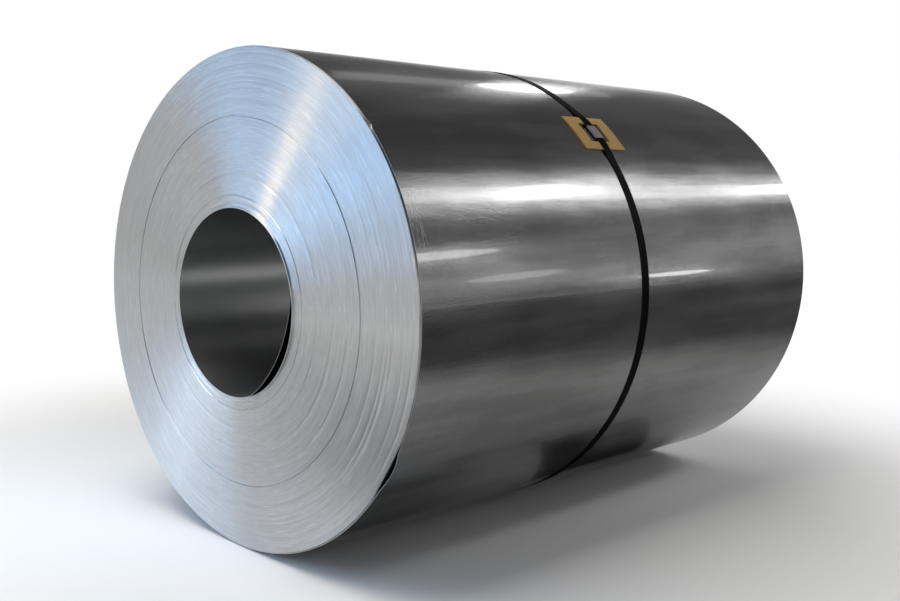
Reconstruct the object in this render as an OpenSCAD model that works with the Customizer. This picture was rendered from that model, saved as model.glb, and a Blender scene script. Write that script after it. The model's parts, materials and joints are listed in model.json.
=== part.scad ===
// Steel coil: cold rolled strip wound on a mandrel, lying on its side and held by one belly strap.
// Millimetres, +Z up, the coil's axis along Y and its front end towards -Y.
// The origin is on the floor, under the middle of the coil.

/* [Coil] */
// Outside diameter of the winding
coil_od = 1350; // [900:10:1900]
// Diameter of the eye, the bore that the winding mandrel leaves
eye_d = 508; // [406:1:762]
// Width of the strip, which is the length of the coil
strip_w = 1829; // [600:1:2100]
// Gauge of the strip
strip_t = 1.5; // [0.8:0.1:4]

/* [Winding] */
// How far the inner turns have run out past the outer ones at the front end
telescope = 16; // [0:1:60]
// Turns that lie edge to edge before the strip wanders to a new line
group_turns = 10; // [4:1:24]
// Most that a group of turns wanders to either side
wander = 2; // [0.2:0.1:4]
// Groups from one deep step to the next
ledge_every = 6; // [2:1:12]
// Extra drop at a deep step
ledge_drop = 2.5; // [0:0.1:6]
// Innermost turns that have slipped out together
head_turns = 2; // [2:1:6]
// How far the innermost turns stand proud of their neighbours at the front end
head_proud = 5; // [4:0.5:12]
// Outermost turns that are set back together
tail_turns = 2; // [2:1:6]
// How far the outermost turns are set back at the front end
tail_setback = 5; // [4:0.5:12]
// Direction of the strip's outer end, where the last turn stops, from +X towards +Z
tail_angle = 205; // [150:1:260]

/* [Loose turns] */
// Width of the gap behind the innermost turn, where it has sprung loose
loose_gap = 12; // [4:0.5:25]
// Angle that the gap spans round the eye
loose_span = 96; // [60:1:130]
// Direction of the gap's middle, from +X towards +Z
loose_angle = -37; // [-180:1:180]
// Depth of the gap from the front end
loose_depth = 420; // [50:10:550]
// Width of the gap where the outermost turn's edge has lifted
lift_gap = 6; // [2:0.5:12]
// Direction of the lifted edge's middle, from +X towards +Z
lift_angle = -31; // [-80:1:60]
// Depth of the lifted edge from the front end
lift_depth = 140; // [40:10:250]

/* [Strap] */
// Width of the steel strap
strap_w = 32; // [19:1:50]
// Thickness of the steel strap
strap_t = 0.9; // [0.6:0.1:1.5]
// Distance of the strap from mid-length, towards the front end
strap_offset = 28; // [-150:1:150]
// Play between parts that lie on each other
fit_gap = 0.2; // [0.1:0.05:0.4]

/* [Seal] */
// Direction of the seal and its pad, from +X towards +Z
seal_angle = 43; // [-60:1:240]
// Length of the crimped seal along the strap
seal_l = 47; // [30:1:80]
// Sheet thickness of the seal
seal_t = 1.2; // [0.8:0.1:1.5]
// Slot between the seal's lips, under the strap
seal_slot = 12; // [4:1:16]

/* [Pad] */
// Thickness of the fibreboard pad under the strap
pad_t = 4; // [3:0.5:8]
// Room in the pad's window ahead of and behind the seal
window_room_along = 12; // [4:1:40]
// Room in the pad's window on each side of the seal
window_room_across = 29; // [6:1:60]
// Width of the two pad bars that the strap crosses
pad_bar_along = 27; // [12:1:60]
// Width of the two pad bars beside the strap
pad_bar_across = 45; // [12:1:80]
// How far the lapped strap ends stop short of the pad's edges
lap_inset = 9; // [2:1:12]

/* [Hidden] */
$fn = 180;
cut = 1;
coil_r = coil_od / 2;
eye_r = eye_d / 2;
axis_h = coil_r + fit_gap + strap_t;
mid_shift = (telescope + head_proud - tail_setback) / 2;

// turns between the slipped ones at the eye and the set-back ones outside
wound_r0 = eye_r + head_turns * strip_t;
wound_r1 = coil_r - tail_turns * strip_t;
group_t = group_turns * strip_t;
groups = max(2, floor((wound_r1 - wound_r0) / group_t));

// faces of the one loose turn at the eye and of the one lifted turn outside
loose_r = eye_r + strip_t;
lift_r = coil_r - strip_t;

// radii that the strap, the pad and the seal lie on
strap_r = coil_r + fit_gap;
rise = pad_t + fit_gap;
raised_r = strap_r + rise;
seal_r0 = raised_r - fit_gap;
seal_r1 = raised_r + 2 * strap_t + fit_gap;
seal_w = strap_w + 2 * (fit_gap + seal_t);
window_along = seal_l + 2 * window_room_along;
window_across = seal_w + 2 * window_room_across;
pad_along = window_along + 2 * pad_bar_along;
pad_across = window_across + 2 * pad_bar_across;

// inner radius of a group of turns
function group_r(k) = k == groups ? wound_r1 : wound_r0 + k * group_t;
// how far a group stands out at the front end: the run-out, its own wander and the deep steps
function group_z(k) =
    telescope * (1 - k / groups)
    + wander * sin(137.5 * k) * (0.6 + 0.4 * cos(61 * k))
    - (k % ledge_every == ledge_every - 1 ? ledge_drop : 0);
// one stair of the end's section: both corners of each group, from the eye outwards
function end_stair(z) = concat(
    [[eye_r, z + telescope + head_proud], [wound_r0, z + telescope + head_proud]],
    [for (k = [0 : groups - 1], side = [0, 1]) [group_r(k + side), z + group_z(k)]],
    [[wound_r1, z - tail_setback], [coil_r + cut, z - tail_setback]]
);
function reversed(list) = [for (i = [len(list) - 1 : -1 : 0]) list[i]];

// lays a piece down: what is drawn in its XY plane is seen from the coil's front end
module laid() {
    translate([0, mid_shift, axis_h]) rotate([90, 0, 0]) children();
}

// outside of the winding: two half rounds, the second half a gauge smaller and as much off centre,
// so that they run into each other on one side and leave a step of one gauge at the strip's end
module wound_outline() {
    half = [2 * coil_od, coil_od];
    rotate(tail_angle) {
        intersection() {
            circle(r = coil_r);
            translate([-coil_od, 0]) square(half);
        }
        intersection() {
            translate([-strip_t / 2, 0]) circle(r = coil_r - strip_t / 2);
            translate([-coil_od, -coil_od]) square(half);
        }
    }
}

module wound_body() {
    intersection() {
        rotate_extrude() polygon(concat(end_stair(strip_w / 2), reversed(end_stair(-strip_w / 2))));
        linear_extrude(2 * strip_w, center = true) wound_outline();
    }
}

// crescent behind the innermost turn: its outer arc runs through both tips and the widest point
module loose_gap_shape() {
    tip = loose_span / 2;
    off = (loose_gap * loose_gap + 2 * loose_r * loose_gap)
        / (2 * (loose_r + loose_gap - loose_r * cos(tip)));
    rotate(loose_angle) difference() {
        translate([off, 0]) circle(r = loose_r + loose_gap - off);
        circle(r = loose_r);
    }
}

// sliver under the outermost turn, over a flat in the turns below
module lift_gap_shape() {
    rotate(lift_angle) intersection() {
        circle(r = lift_r);
        translate([lift_r - lift_gap, -coil_r]) square([coil_r, 2 * coil_r]);
    }
}

module coil() {
    top = strip_w / 2 + telescope + head_proud + cut;
    color([0.62, 0.64, 0.67]) laid() difference() {
        wound_body();
        translate([0, 0, top - loose_depth]) linear_extrude(loose_depth) loose_gap_shape();
        translate([0, 0, top - lift_depth]) linear_extrude(lift_depth) lift_gap_shape();
    }
}

// everything within a distance of the seal's middle line, on the seal's side of the coil
module seal_band(length) {
    translate([0, -length / 2]) square([2 * coil_r, length]);
}

// outline of a taut belt: round the coil, up a straight ramp to each pad edge and over the pad
module belt_shape(r) {
    top_r = r + rise;
    half = pad_along / 2;
    edge = [sqrt(top_r * top_r - half * half), half];
    foot_angle = asin(half / top_r) + 0.9 * acos(r / top_r);
    foot = (r - fit_gap) * [cos(foot_angle), sin(foot_angle)];
    // both ramps, drawn on until they meet over the pad's middle
    meet = edge[0] + half * (edge[0] - foot[0]) / (foot[1] - half);
    circle(r = r);
    intersection() {
        circle(r = top_r);
        polygon([[0, 0], [foot[0], -foot[1]], [meet, 0], foot]);
    }
}

module strap() {
    color([0.06, 0.06, 0.07]) laid() translate([0, 0, strap_offset]) rotate(seal_angle)
    linear_extrude(strap_w, center = true) difference() {
        union() {
            belt_shape(strap_r + strap_t);
            intersection() {
                circle(r = raised_r + 2 * strap_t);
                seal_band(pad_along - 2 * lap_inset);
            }
        }
        belt_shape(strap_r);
    }
}

// curved slab between two radii, centred on the seal
module seal_slab(r0, r1, length, width) {
    linear_extrude(width, center = true) intersection() {
        difference() {
            circle(r = r1);
            circle(r = r0);
        }
        seal_band(length);
    }
}

module strap_seal() {
    color([0.66, 0.67, 0.68]) laid() translate([0, 0, strap_offset]) rotate(seal_angle) difference() {
        seal_slab(seal_r0 - seal_t, seal_r1 + seal_t, seal_l, seal_w);
        seal_slab(seal_r0, seal_r1, seal_l + 2 * cut, strap_w + 2 * fit_gap);
        seal_slab(seal_r0 - seal_t - cut, seal_r0 + fit_gap, seal_l + 2 * cut, seal_slot);
    }
}

module seal_pad() {
    color([0.68, 0.55, 0.33]) laid() translate([0, 0, strap_offset]) rotate(seal_angle) difference() {
        seal_slab(strap_r, strap_r + pad_t, pad_along, pad_across);
        seal_slab(strap_r - cut, strap_r + pad_t + cut, window_along, window_across);
    }
}

coil();
strap();
strap_seal();
seal_pad();
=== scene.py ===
import json
import math

import bpy
import numpy as np
from mathutils import Matrix, Vector


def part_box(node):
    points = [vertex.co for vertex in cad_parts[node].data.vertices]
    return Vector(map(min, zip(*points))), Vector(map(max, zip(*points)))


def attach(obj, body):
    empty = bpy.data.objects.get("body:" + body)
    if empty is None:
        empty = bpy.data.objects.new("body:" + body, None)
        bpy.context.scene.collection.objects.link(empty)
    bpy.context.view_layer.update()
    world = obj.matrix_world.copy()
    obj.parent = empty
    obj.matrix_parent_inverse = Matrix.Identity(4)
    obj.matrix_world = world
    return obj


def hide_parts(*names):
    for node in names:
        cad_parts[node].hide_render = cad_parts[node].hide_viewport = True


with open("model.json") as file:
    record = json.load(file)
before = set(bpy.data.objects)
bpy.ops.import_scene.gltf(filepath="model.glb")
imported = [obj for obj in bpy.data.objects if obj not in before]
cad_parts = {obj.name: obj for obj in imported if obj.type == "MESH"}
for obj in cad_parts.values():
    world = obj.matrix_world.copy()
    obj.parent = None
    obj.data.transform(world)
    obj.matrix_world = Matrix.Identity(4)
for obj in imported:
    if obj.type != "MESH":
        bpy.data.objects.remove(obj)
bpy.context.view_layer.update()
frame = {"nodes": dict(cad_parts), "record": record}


# Coil
# Cold rolled steel strip wound tight on a mandrel, some 280 turns lying on each other.
# Both ends show the slit edges of the turns in rings; at the front the inner turns have run out,
# the innermost one has sprung loose in the eye and the outermost one has lifted at one place.

coil_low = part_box("coil")[0]
eye = frame["record"]["mounts"][0]
EYE_R = eye["dims"]["r_mm"] / 1000
STRIP_W = eye["dims"]["length_mm"] / 1000
AXIS_H = eye["pos_m"][2]
COIL_R = AXIS_H - coil_low[2]
STRIP_T = 0.0015
RUN_OUT = 0.016
HEAD_PROUD = 0.005
TAIL_SETBACK = 0.005
SLIPPED = 2 * STRIP_T
MID_SHIFT = (RUN_OUT + HEAD_PROUD - TAIL_SETBACK) / 2
FRONT = STRIP_W / 2
BACK = -STRIP_W / 2

# what is drawn in the coil's own XY plane is seen from its front end, and its own Z points there
LAID = Matrix.Translation((0, MID_SHIFT, AXIS_H)) @ Matrix.Rotation(math.pi / 2, 4, "X")


class Wire:
    """One output of a shader node; sums and products of wires add Math nodes."""

    def __init__(self, finish, socket):
        self.finish = finish
        self.socket = socket

    def __getitem__(self, output):
        return Wire(self.finish, self.socket.node.outputs[output])

    def math(self, operation, first, second):
        return self.finish.add("ShaderNodeMath", {"operation": operation}, {0: first, 1: second})

    def __add__(self, other):
        return self.math("ADD", self, other)

    def __radd__(self, other):
        return self.math("ADD", other, self)

    def __sub__(self, other):
        return self.math("SUBTRACT", self, other)

    def __rsub__(self, other):
        return self.math("SUBTRACT", other, self)

    def __mul__(self, other):
        return self.math("MULTIPLY", self, other)

    def __rmul__(self, other):
        return self.math("MULTIPLY", other, self)

    def __pow__(self, other):
        return self.math("POWER", self, other)


class Finish:
    """A material or the room light under construction, made node by node."""

    def __init__(self, owner):
        owner.use_nodes = True
        self.owner = owner
        self.tree = owner.node_tree
        self.tree.nodes.clear()

    def add(self, kind, settings, inputs):
        node = self.tree.nodes.new(kind)
        for name, value in settings.items():
            setattr(node, name, value)
        for name, value in inputs.items():
            if isinstance(value, Wire):
                self.tree.links.new(value.socket, node.inputs[name])
            else:
                node.inputs[name].default_value = value
        return Wire(self, node.outputs[0]) if len(node.outputs) else node

    def place(self):
        return self.add("ShaderNodeTexCoord", {}, {})["Object"]

    def split(self, vector):
        return self.add("ShaderNodeSeparateXYZ", {}, {"Vector": vector})

    def away(self, apart):
        """Distance from the Z axis."""
        return (apart["X"] * apart["X"] + apart["Y"] * apart["Y"]) ** 0.5

    def vector(self, operation, first, second):
        return self.add("ShaderNodeVectorMath", {"operation": operation}, {0: first, 1: second})

    def noise(self, vector, scale, detail):
        inputs = {"Vector": vector, "Scale": scale, "Detail": detail}
        return self.add("ShaderNodeTexNoise", {}, inputs)

    def step(self, value, low, high):
        return self.add(
            "ShaderNodeMapRange",
            {"interpolation_type": "SMOOTHSTEP"},
            {"Value": value, "From Min": low, "From Max": high},
        )

    def mix(self, share, first, second):
        return self.add("ShaderNodeMix", {"data_type": "RGBA"}, {0: share, 6: first, 7: second})[2]

    def bump(self, height, distance):
        return self.add("ShaderNodeBump", {}, {"Height": height, "Distance": distance})

    def surface(self, inputs):
        shader = self.add("ShaderNodeBsdfPrincipled", {}, inputs)
        self.add("ShaderNodeOutputMaterial", {}, {"Surface": shader})
        return self.owner


def new_finish(name):
    return Finish(bpy.data.materials.new(name))


def grey(level, blue=0.0):
    """A grey, with a little less red and a little more blue where that is asked for."""
    return (level * (1 - blue), level, level * (1 + blue), 1)


def in_coil(finish):
    """Place in the coil, its direction from the axis and its three coordinates."""
    where = finish.place()
    heading = finish.vector("NORMALIZE", finish.vector("MULTIPLY", where, (1, 1, 0)), (0, 0, 0))
    return where, heading, finish.split(where)


def drawn(finish, heading, breaks, level, pitch, detail):
    """Noise drawn out along the turns: quick across them, slow to break up round the axis."""
    round_about = finish.vector("MULTIPLY", heading, (breaks, breaks, 0))
    lift = finish.add("ShaderNodeCombineXYZ", {}, {"Z": level * pitch})
    return finish.noise(finish.vector("ADD", round_about, lift), 1.0, detail)


# ends: the slit edges of the turns, bright and brushed along the turns
steel = new_finish("coil_end_steel")
where, heading, apart = in_coil(steel)
out = steel.away(apart)
turns = drawn(steel, heading, 1.5, out, 420.0, 2.0)
groups = drawn(steel, heading, 1.0, out, 70.0, 2.0)
streaks = drawn(steel, heading, 7.0, out, 260.0, 2.0)
tone = turns * 0.25 + groups * 0.2 + streaks * 0.55
edges = steel.mix(steel.step(tone, 0.36, 0.64), grey(0.49, 0.01), grey(0.565, 0.01))
scratches = steel.step(drawn(steel, heading, 11.0, out, 520.0, 0.0), 0.66, 0.78)
end_steel = steel.surface({
    "Base Color": steel.mix(scratches * 0.5, edges, grey(0.75)),
    "Roughness": 0.28 + 0.05 * turns,
    "Metallic": 1.0,
    "Anisotropic": 1.0,
    "Anisotropic Rotation": 0.25,
    "Normal": steel.bump(turns * 0.8 + streaks * 0.2, 0.00025),
})

# outer face: rolled steel under a thin film of oil, which the clear coat stands for
steel = new_finish("coil_wrap_steel")
where, heading, apart = in_coil(steel)
along = apart["Z"]
grain = drawn(steel, heading, 6.0, along, 260.0, 3.0)
cloud = steel.noise(where, 4.0, 3.0)
patches = drawn(steel, heading, 12.0, along, 2.2, 4.0)
speck = steel.noise(where, 210.0, 1.0)
RUBBED_ANGLE = 0.36
rubbed_way = (math.cos(RUBBED_ANGLE), math.sin(RUBBED_ANGLE), 0)
rubbed = steel.vector("DOT_PRODUCT", heading, rubbed_way)["Value"]
rubbed = steel.step(rubbed, 0.993, 0.999) * steel.step(along, FRONT - 0.07, FRONT - 0.03)
scuffs = rubbed * steel.step(drawn(steel, heading, 14.0, along, 420.0, 2.0), 0.56, 0.68)
tone = cloud * 0.3 + patches * 0.55 + speck * 0.15
film = steel.mix(steel.step(tone, 0.40, 0.60), grey(0.14), grey(0.222))
wrap_steel = steel.surface({
    "Base Color": steel.mix(scuffs, film, grey(0.34)),
    "Roughness": 0.17 + 0.06 * patches + 0.06 * speck + 0.12 * scuffs,
    "Metallic": 1.0,
    "Anisotropic": 0.3,
    "Anisotropic Rotation": 0.25,
    "Normal": steel.bump(patches * 0.26 + speck * 0.12 + grain * 0.01, 0.0015),
    "Coat Weight": 0.25,
    "Coat IOR": 2.2,
    "Coat Roughness": 0.05,
})

# wall of the eye: rolled steel, with painted shade that darkens its upper part
steel = new_finish("coil_eye_steel")
where, heading, apart = in_coil(steel)
cloud = steel.noise(where, 6.0, 3.0)
grain = drawn(steel, heading, 5.0, apart["Z"], 150.0, 2.0)
EYE_DARK = (0.67, 0.673, 0.665, 1)
EYE_LIGHT = (0.755, 0.758, 0.75, 1)
bare = steel.mix(cloud * 0.6 + grain * 0.4, EYE_DARK, EYE_LIGHT)
# painted shade: the base colour is darkened over the upper part of the wall, standing in for the
# dark the bore mirrors there
painted_top_shade = steel.step(steel.split(heading)["Y"], 0.3, 0.7)
eye_steel = steel.surface({
    "Base Color": steel.mix(painted_top_shade * 0.75, bare, grey(0.16)),
    "Roughness": 0.27,
    "Metallic": 1.0,
    "Anisotropic": 0.5,
    "Anisotropic Rotation": 0.25,
    "Normal": steel.bump(grain, 0.00005),
})

# columns of the mesh run once round, from the strip's outer end to the step that it leaves
COLUMNS = 214
TAIL_ANGLE = math.radians(205)
TAIL_GAP = 0.0008
STEP_ANGLE = TAIL_GAP / COIL_R
NICK_ANGLE = math.radians(41.9)
NICK_HALF = math.radians(1.1)
LIFT_ANGLE = math.radians(-31)
DENT_HALF = math.radians(5)
even_columns = np.linspace(0, 2 * math.pi - STEP_ANGLE, COLUMNS)
nick_columns = (NICK_ANGLE - TAIL_ANGLE) % (2 * math.pi) + NICK_HALF * np.linspace(-1.2, 1.2, 9)
dent_columns = (LIFT_ANGLE - TAIL_ANGLE) % (2 * math.pi) + DENT_HALF * np.linspace(-1, 1, 11)
past_tail = np.union1d(even_columns, np.union1d(nick_columns, dent_columns))
angle = TAIL_ANGLE + past_tail


def off(middle):
    """Angle of each column from a direction, within half a turn."""
    return (angle - middle + math.pi) % (2 * math.pi) - math.pi


# the last turn lies at full size over half a round and then runs in under its own end
HAIRLINE = 0.00012
outer_r = COIL_R - np.where(past_tail > math.pi, STRIP_T / 2 * (1 + np.cos(past_tail)), 0)
under_r = outer_r - STRIP_T - HAIRLINE

# the innermost turn has sprung into the eye: an arc through both ends of the loose stretch
LOOSE_SAG = 0.022
LOOSE_HALF = math.radians(40)
LOOSE_ANGLE = math.radians(-31)
LOOSE_DEPTH = 0.42
slack_r = EYE_R - LOOSE_SAG
LOOSE_OFF = (EYE_R**2 - slack_r**2) / (2 * (slack_r - EYE_R * math.cos(LOOSE_HALF)))
LOOSE_ARC = slack_r + LOOSE_OFF
turned = off(LOOSE_ANGLE)
arc = np.sqrt(LOOSE_ARC**2 - (LOOSE_OFF * np.sin(turned)) ** 2) - LOOSE_OFF * np.cos(turned)
sag = np.where(np.abs(turned) < LOOSE_HALF, np.maximum(EYE_R - arc, 0), 0)

# sliver under the lifted outermost turn, over a flat in the turns below
LIFT_GAP = 0.006
LIFT_DEPTH = 0.14
LEAST_COS = 0.2
flat = (COIL_R - STRIP_T - LIFT_GAP) / np.maximum(np.cos(off(LIFT_ANGLE)), LEAST_COS)
sliver = np.minimum(under_r, flat)

# rings make room for the sliver beyond this radius, and drift off the middle by up to this much
HOLD_OUT = 0.640
DRIFT = 0.005
SECOND_R = EYE_R + STRIP_T + HAIRLINE
RIM_R = COIL_R - STRIP_T - HAIRLINE


def ring(r, outer):
    """Radius of a ring at each column, with its drift and, near the rim, room for the sliver."""
    pull = (RIM_R - outer) * np.clip((r - HOLD_OUT) / (RIM_R - HOLD_OUT), 0, 1)
    drift = DRIFT * np.sin(math.pi * (r - EYE_R) / (COIL_R - EYE_R)) * np.cos(angle)
    return r - pull - drift


# rings of the ends: plain groups of turns, with narrow ones between them that are set back
rng = np.random.default_rng(11)
GROUP_W = 0.0085
GROUP_UNEVEN = 0.4
GROUP_DROP = 0.00006
RING_BEVEL = 0.0005
BEVEL_SHARE = 0.3
# radius, width and depth, and the share of the depth that is left across from the slack side
SLACK_ANGLE = math.radians(-30)
SET_BACK = (
    (0.268, 0.0022, 0.0006, 0.8),
    (0.288, 0.0030, 0.0016, 0.9),
    (0.345, 0.0026, 0.0006, 0.5),
    (0.402, 0.0018, 0.0003, 0.1),
    (0.455, 0.0018, 0.0003, 0.1),
    (0.495, 0.0042, 0.0028, 1.0),
    (0.545, 0.0018, 0.0003, 0.1),
    (0.572, 0.0024, 0.0004, 0.1),
    (0.584, 0.0024, 0.0004, 0.1),
    (0.597, 0.0028, 0.0006, 0.1),
    (0.630, 0.0018, 0.0003, 0.1),
    (0.657, 0.0026, 0.0004, 0.1),
)
near_slack = np.cos(off(SLACK_ANGLE) / 2) ** 4
ring_edges = [EYE_R + SLIPPED]
ring_drops = []
for place, width, depth, across in SET_BACK + ((COIL_R - SLIPPED, 0, 0, 0),):
    gap = place - width / 2 - ring_edges[-1]
    count = max(1, round(gap / GROUP_W))
    shares = np.cumsum(rng.uniform(1 - GROUP_UNEVEN, 1 + GROUP_UNEVEN, count))
    ring_edges += list(ring_edges[-1] + gap * shares / shares[-1])
    ring_drops += [drop + 0 * angle for drop in rng.uniform(-GROUP_DROP, GROUP_DROP, count)]
    if depth:
        ring_edges.append(place + width / 2)
        ring_drops.append(depth * (across + (1 - across) * near_slack))
ring_edges = np.array(ring_edges)
bevel = np.minimum(RING_BEVEL, BEVEL_SHARE * np.diff(ring_edges))
ring_sides = np.stack([ring_edges[:-1] + bevel, ring_edges[1:] - bevel], axis=-1).ravel()
run_out = RUN_OUT * (COIL_R - ring_sides[:, None]) / (COIL_R - EYE_R)
ring_z = run_out - np.repeat(ring_drops, 2, axis=0)

END, WRAP, EYE = 0, 1, 2
SHARP = math.radians(30)
rows = []


def row(radius, height, finish):
    """One loop of points round the coil, and the finish of the faces up to the next loop."""
    rows.append((radius + 0 * angle, height + 0 * angle, finish + 0 * angle))


# front end, from the eye outwards
HEAD = FRONT + RUN_OUT + HEAD_PROUD
LOOSE_STEPS = np.linspace(0, 1, 9)
STANDS_OFF = 0.001


def slack(share):
    """How far the loose turn hangs into the eye, less and less with the depth."""
    return sag * (1 - share * share * (3 - 2 * share))


row(EYE_R - sag, HEAD, np.where(sag > STANDS_OFF, WRAP, END))
for share in LOOSE_STEPS:
    row(EYE_R + STRIP_T - slack(share), HEAD - LOOSE_DEPTH * share, WRAP)
row(SECOND_R, HEAD - LOOSE_DEPTH, WRAP)
row(SECOND_R, HEAD, END)
row(ring(ring_edges[0], sliver), HEAD, END)
for r, height in zip(ring_sides, ring_z):
    row(ring(r, sliver), FRONT + height, END)
NICK_DEPTH = 0.005
DENT_DEPTH = 0.010
nick = NICK_DEPTH * np.clip(2 - 2 * np.abs(off(NICK_ANGLE)) / NICK_HALF, 0, 1)
dent = DENT_DEPTH * np.clip(1 - (off(LIFT_ANGLE) / DENT_HALF) ** 2, 0, 1)
tail_z = FRONT - TAIL_SETBACK - nick
rim_z = tail_z - dent
row(ring(ring_edges[-1], sliver), tail_z, WRAP)
row(sliver, tail_z, WRAP)
row(sliver, FRONT - LIFT_DEPTH, WRAP)
row(outer_r - STRIP_T, FRONT - LIFT_DEPTH, WRAP)
row(outer_r - STRIP_T, rim_z, END)

# outer face, with the slow waves that a tight wrap keeps from the mill
WAVE = 0.0006
WRAP_ROWS = 25
for share in np.linspace(0, 1, WRAP_ROWS):
    height = rim_z + share * (BACK - TAIL_SETBACK - rim_z)
    ripple = np.sin(3 * angle + 4 * height) + np.sin(7 * angle - 9 * height + 1)
    ripple = ripple + np.sin(11 * angle + 2)
    fade = math.sin(math.pi * share)
    row(outer_r - WAVE * fade * (3 + ripple) / 6, height, WRAP)
rows[-1] = rows[-1][:2] + (END + 0 * angle,)

# back end, from the rim inwards, and the wall of the eye
EYE_ROWS = 10
row(ring(ring_edges[-1], under_r), BACK - TAIL_SETBACK, END)
for r, height in zip(ring_sides[::-1], ring_z[::-1]):
    row(ring(r, under_r), BACK + height, END)
row(ring(ring_edges[0], under_r), HEAD - STRIP_W, END)
for height in np.linspace(HEAD - STRIP_W, HEAD - LOOSE_DEPTH, EYE_ROWS)[:-1]:
    row(EYE_R, height, EYE)
for share in LOOSE_STEPS[:0:-1]:
    row(EYE_R - slack(share), HEAD - LOOSE_DEPTH * share, EYE)


def turned_mesh(name, rows, materials):
    """Closed skin through loops of points round the own Z axis."""
    radius = np.array([r for r, height, finish in rows])
    height = np.array([h for r, h, finish in rows])
    points = np.stack([radius * np.cos(angle), radius * np.sin(angle), height], axis=-1)
    here = np.arange(radius.size).reshape(radius.shape)
    beside = np.roll(here, -1, axis=1)
    next_row, next_beside = np.roll(here, -1, axis=0), np.roll(beside, -1, axis=0)
    faces = np.stack([here, next_row, next_beside, beside], axis=-1)
    mesh = bpy.data.meshes.new(name)
    mesh.from_pydata(points.reshape(-1, 3).tolist(), [], faces.reshape(-1, 4).tolist())
    for material in materials:
        mesh.materials.append(material)
    finish = np.array([finish for r, h, finish in rows]).ravel()
    mesh.polygons.foreach_set("material_index", finish.astype("int32"))
    mesh.polygons.foreach_set("use_smooth", finish != END)
    mesh.set_sharp_from_angle(angle=SHARP)
    mesh.update()
    return mesh


def new_piece(name, data):
    piece = bpy.data.objects.new(name, data)
    bpy.context.collection.objects.link(piece)
    return piece


finishes = [end_steel, wrap_steel, eye_steel]
coil = new_piece("coil_winding", turned_mesh("coil_winding", rows, finishes))
coil.matrix_world = LAID
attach(coil, "root")
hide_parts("coil")


# Strap
# One black painted steel strap drawn tight round the belly of the coil.
# Its ends lap over the pad and are held there by the seal.

strap_low, strap_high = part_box("strap")
STRAP_MID = (strap_low[1] + strap_high[1]) / 2
STRAP_HALF = (strap_high[1] - strap_low[1]) / 2


def dress(node, material):
    """Gives a piece of the frame its finish."""
    slots = frame["nodes"][node].data.materials
    slots.clear()
    slots.append(material)


paint = new_finish("strap_black_paint")
where = paint.place()
scuff = paint.noise(where, 70.0, 3.0)
side = paint.split(where)["Y"] - STRAP_MID
EDGE_W = 0.004
edge = paint.step((side * side) ** 0.5, STRAP_HALF - EDGE_W, STRAP_HALF)
worn = paint.step(scuff + edge * 0.25, 0.62, 0.85)
dress("strap", paint.surface({
    "Base Color": paint.mix(worn, grey(0.002), grey(0.012)),
    "Roughness": 0.42 + 0.2 * scuff,
    "Specular IOR Level": 0.02,
    "Normal": paint.bump(paint.noise(where, 400.0, 2.0), 0.0001),
}))


# Strap seal
# Short sleeve of zinc coated sheet steel, folded and crimped round the lapped strap ends.
# It sits in the window of the pad.

zinc = new_finish("seal_zinc")
where = zinc.place()
spangle = zinc.noise(where, 240.0, 3.0)
dress("strap_seal", zinc.surface({
    "Base Color": zinc.mix(spangle, grey(0.16), grey(0.34)),
    "Roughness": 0.42 + 0.15 * spangle,
    "Metallic": 0.75,
    "Normal": zinc.bump(spangle, 0.0003),
}))


# Seal pad
# Frame of brown fibreboard, punched with a window for the seal.
# It is held down on the coil by the strap that crosses it.

board = new_finish("pad_fibreboard")
where = board.place()
fibre = board.noise(where, 320.0, 4.0)
stain = board.noise(where, 26.0, 3.0)
BOARD_DARK = (0.27, 0.165, 0.055, 1)
BOARD_LIGHT = (0.44, 0.30, 0.125, 1)
dress("seal_pad", board.surface({
    "Base Color": board.mix(fibre * 0.5 + stain * 0.5, BOARD_DARK, BOARD_LIGHT),
    "Roughness": 0.75 + 0.2 * fibre,
    "Specular IOR Level": 0.2,
    "Normal": board.bump(fibre, 0.0009),
}))


# Camera
# Stands off the coil's front right, a little above the axis.
# The picture is 900 by 601 pixels, with the lens axis well left of its middle.

AZIMUTH = math.radians(50.3797)
ELEVATION = math.radians(6.1121)
PICTURE_W = 900
FOCAL_PX = 1011.587
LENS_AXIS_PX = 300
lens = bpy.data.cameras.new("camera")
lens.sensor_width = 36.0
lens.lens = FOCAL_PX / PICTURE_W * lens.sensor_width
lens.shift_x = 0.5 - LENS_AXIS_PX / PICTURE_W
camera = new_piece("camera", lens)
flat_part = math.cos(ELEVATION)
toward = Vector((math.sin(AZIMUTH), -math.cos(AZIMUTH), 0)) * flat_part
toward.z = math.sin(ELEVATION)
right = Vector((math.cos(AZIMUTH), math.sin(AZIMUTH), 0))
turn = Matrix((right, toward.cross(right), toward)).transposed()
camera_at = Vector((2.19204, -2.51158 + MID_SHIFT, 0.29520 + AXIS_H))
camera.matrix_world = Matrix.Translation(camera_at) @ turn.to_4x4()
bpy.context.scene.camera = camera


# Floor
# Plain pale studio floor; it takes the coil's shadow near by and runs out to white.
# Darker sheets lie on it that only the steel mirrors: under the coil they are painted shade, deeper
# than the floor's own shadow there, and the side and end cloths give the dark bands on the wrap and
# the end.

pale = new_finish("floor_pale")
apart = pale.split(pale.place())
away = pale.away(apart)
rays = pale.add("ShaderNodeLightPath", {}, {})
seen = rays["Is Camera Ray"] + rays["Is Glossy Ray"] + rays["Is Transmission Ray"]
white = pale.add("ShaderNodeEmission", {}, {"Color": (1, 1, 1, 1), "Strength": 1.0})
matt = pale.add("ShaderNodeBsdfDiffuse", {}, {"Color": grey(0.88)})
in_front = pale.step(0 - apart["Y"], 2.6, 4.0)
share = pale.step(seen, 0.0, 1.0) * pale.step(away, 1.0, 2.8) * (1 - 0.3 * in_front)
pale.add(
    "ShaderNodeOutputMaterial",
    {},
    {"Surface": pale.add("ShaderNodeMixShader", {}, {0: share, 1: matt, 2: white})},
)


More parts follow.
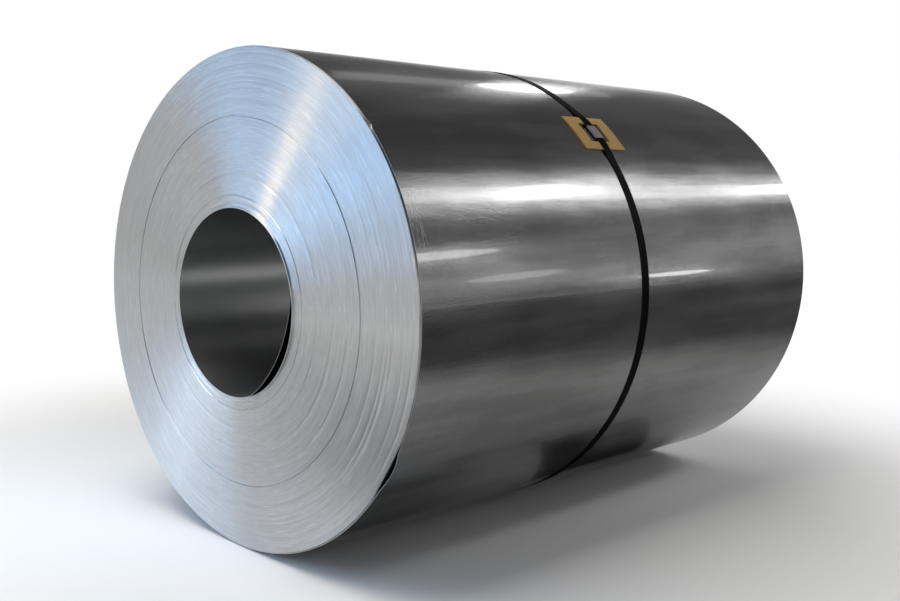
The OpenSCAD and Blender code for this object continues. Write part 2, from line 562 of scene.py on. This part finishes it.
def lay_sheet(name, low, high, height, material):
    """Flat rectangle on the floor that isn't part of the object."""
    mesh = bpy.data.meshes.new(name)
    corners = [(low[0], low[1]), (high[0], low[1]), (high[0], high[1]), (low[0], high[1])]
    mesh.from_pydata([(x, y, height) for x, y in corners], [], [(0, 1, 2, 3)])
    mesh.materials.append(material)
    sheet = new_piece(name, mesh)
    return sheet


FLOOR_HALF = 30
SHEET_H = 0.002
lay_sheet("floor", (-FLOOR_HALF, -FLOOR_HALF), (FLOOR_HALF, FLOOR_HALF), 0, pale.owner)

sheet_finish = new_finish("dark_cloth")
apart = sheet_finish.split(sheet_finish.place())
away = sheet_finish.away(apart)
slant = apart["X"] + 0.35 * apart["Y"]
level = 0.85 - 0.67 * sheet_finish.step(slant, 1.16, 2.1) + 0.25 * sheet_finish.step(away, 3.0, 7.0)
MATT = {"Roughness": 1.0, "Specular IOR Level": 0.0}
side_cloth = sheet_finish.surface({"Base Color": sheet_finish.mix(level, grey(0.0), grey(1.0)), **MATT})

# painted shade: a dark sheet under the coil's belly, seen only in the steel, deepens the floor's
# shadow there and lightens away from the coil
sheet_finish = new_finish("painted_foot_shade")
apart = sheet_finish.split(sheet_finish.place())
shade_lifts = sheet_finish.step(apart["X"], 0.33, 0.52) * sheet_finish.step(apart["Y"], 0.22, 0.40)
painted_foot_shade = sheet_finish.surface({"Base Color": sheet_finish.mix(shade_lifts, grey(0.11), grey(0.40)), **MATT})

# painted shade: a grey sheet under the front half of the coil, seen only in the steel, darkens the
# floor's shadow there, most toward the front end
sheet_finish = new_finish("painted_heel_shade")
level = 0.40 + 0.48 * sheet_finish.step(sheet_finish.split(sheet_finish.place())["Y"], -0.65, -0.05)
painted_heel_shade = sheet_finish.surface({"Base Color": sheet_finish.mix(level, grey(0.0), grey(1.0)), **MATT})
end_cloth = new_finish("end_cloth").surface({"Base Color": grey(0.30), **MATT})
for name, low, high, material in (
    ("side_cloth", (0.58, -0.4), (14, 25), side_cloth),
    ("end_cloth", (-0.85, -4.2), (0.7, -1.33), end_cloth),
    ("foot_shade_sheet", (0.28, 0.05), (0.57, 0.66), painted_foot_shade),
    ("heel_shade_sheet", (0.28, -0.9), (0.57, 0.05), painted_heel_shade),
):
    unseen = lay_sheet(name, low, high, SHEET_H, material)
    unseen.visible_camera = False
    unseen.visible_shadow = False
    unseen.visible_diffuse = False


# Light
# A grey room that is white behind the coil, a soft box overhead, and long boxes that the wrap
# and the turns mirror as streaks. All boxes are out of the camera's sight.

world = bpy.data.worlds.new("room")
bpy.context.scene.world = world
room = Finish(world)
way = room.add("ShaderNodeTexCoord", {}, {})["Generated"]
height = room.split(way)["Z"]
behind = (-math.sin(AZIMUTH), math.cos(AZIMUTH), 0)
ahead = room.vector("DOT_PRODUCT", way, behind)["Value"]
backdrop = room.step(ahead, 0.6, 0.8) * (1 - room.step(height, 0.195, 0.28))
dim = 0.72 - 0.58 * room.step(height, 0.1, 0.4)
dim = dim - 0.55 * (1 - room.step(height, 0.0, 0.09)) * room.step(room.split(way)["Y"], 0.6, 0.95)
strength = dim + (1 - dim) * backdrop
glow = room.add("ShaderNodeBackground", {}, {"Color": (1, 1, 1, 1), "Strength": strength})
room.add("ShaderNodeOutputWorld", {}, {"Surface": glow})

WHITE = (1, 1, 1)


def soft_box(name, start, end, width, aim, brightness, colour=WHITE, spread=180, shape="RECTANGLE"):
    """Box of light between two points, turned to face a third; a small spread keeps it narrow."""
    start, end, aim = Vector(start), Vector(end), Vector(aim)
    middle = (start + end) / 2
    out = (middle - aim).normalized()
    across = out.cross(end - start).normalized()
    lamp = bpy.data.lights.new(name, "AREA")
    lamp.shape = shape
    lamp.size = (end - start).length
    lamp.size_y = width
    lamp.color = colour
    lamp.spread = math.radians(spread)
    fill = math.pi / 4 if shape == "ELLIPSE" else 1
    grid = 1 - lamp.spread / 2 / math.tan(lamp.spread / 2)
    lamp.energy = math.pi * brightness * fill * grid * lamp.size * lamp.size_y
    box = new_piece(name, lamp)
    axes = Matrix((across.cross(out), across, out)).transposed()
    box.matrix_world = Matrix.Translation(middle) @ axes.to_4x4()
    box.visible_camera = False


def soft_oval(name, start, end, width, aim, brightness):
    soft_box(name, start, end, width, aim, brightness, shape="ELLIPSE")


WARM = (1.0, 0.66, 0.22)
COOL = (0.28, 0.58, 1.0)
PALE = (0.6, 0.78, 1.0)
SOFT_WHITE = (1.0, 0.98, 0.95)
FACE = (0, -0.92, 0.68)
FACE_HIGH = (0.13, -0.92, 0.92)
FACE_LOW = (-0.45, -0.92, -0.1)

# fans on the front end: blue ones beside a warm one above the eye, a pale one below it
soft_box("cool_side", (0.2, -5.4, 1.15), (-1.32, -4.37, 1.41), 0.7, FACE, 3.0, COOL, 70)
soft_box("cool_near", (-1.32, -4.37, 1.41), (-2.2, -3.6, 1.6), 0.7, FACE, 5.8, COOL, 70)
soft_box("cool_far", (-2.2, -3.6, 1.6), (-3.1, -2.8, 1.73), 0.7, FACE, 3.5, COOL, 70)
soft_box("warm_box", (-2.0, -3.72, 2.7), (-1.8, -3.68, 3.1), 0.26, FACE_HIGH, 58, WARM, 11)
soft_box("pale_side", (-0.92, -4.72, 1.32), (-1.4, -4.3, 1.42), 0.6, FACE_LOW, 12.0, PALE, 38)
soft_box("pale_near", (-1.4, -4.3, 1.42), (-2.2, -3.6, 1.6), 0.6, FACE_LOW, 21.0, PALE, 38)
soft_box("pale_far", (-2.2, -3.6, 1.6), (-3.0, -2.9, 1.72), 0.6, FACE_LOW, 17.0, PALE, 38)

# streaks along the wrap, with brighter ovals in them
soft_box("side_row", (2.155, 1.4, 2.805), (2.015, 6.3, 2.915), 0.36, (0.607, 3.9, 0.972), 2.9)
soft_box("side_glow", (2.14, 1.2, 2.82), (1.98, 6.5, 2.945), 1.0, (0.607, 3.9, 0.972), 1.05)
soft_oval("side_near", (2.109, 2.33, 2.792), (1.990, 3.15, 2.884), 0.36, (0.607, 2.74, 0.972), 8.5)
soft_oval("side_far", (2.0, 5.2, 2.88), (1.95, 6.8, 2.92), 0.32, (0.607, 6.0, 0.972), 7)
soft_oval("top_box", (-0.95, 1.95, 2.77), (-1.05, 2.85, 2.70), 0.32, (0.3, 2.4, 1.27), 6.5)
soft_box("top_row", (-0.8, 0.9, 2.87), (-1.1, 3.2, 2.67), 0.3, (0.3, 2.0, 1.27), 0.6)
soft_oval("tube_high", (3.0, 1.25, 1.69), (2.97, 2.45, 1.78), 0.17, (0.65, 1.9, 0.83), 6.0)
soft_oval("tube_mid", (3.14, 2.1, 1.12), (3.13, 3.1, 1.2), 0.16, (0.65, 2.6, 0.77), 2.5)
soft_oval("tube_low", (3.17, 3.92, 0.855), (3.17, 4.92, 0.855), 0.11, (0.65, 4.42, 0.742), 11)

# a low glow in the eye, and the main light from above
soft_box("eye_box", (0.12, -0.7, 0.516), (0.12, -0.05, 0.516), 0.07, (-0.25, -0.37, 0.73), 0.32)
OVERHEAD_W = 3.5
OVERHEAD_AIM = (-0.6, -2.2, 0)
soft_box(
    "overhead_box", (-2.35, -2.2, 5.0), (1.15, -2.2, 5.0), OVERHEAD_W, OVERHEAD_AIM, 5.0, SOFT_WHITE
)

bpy.context.scene.view_settings.view_transform = "Standard"
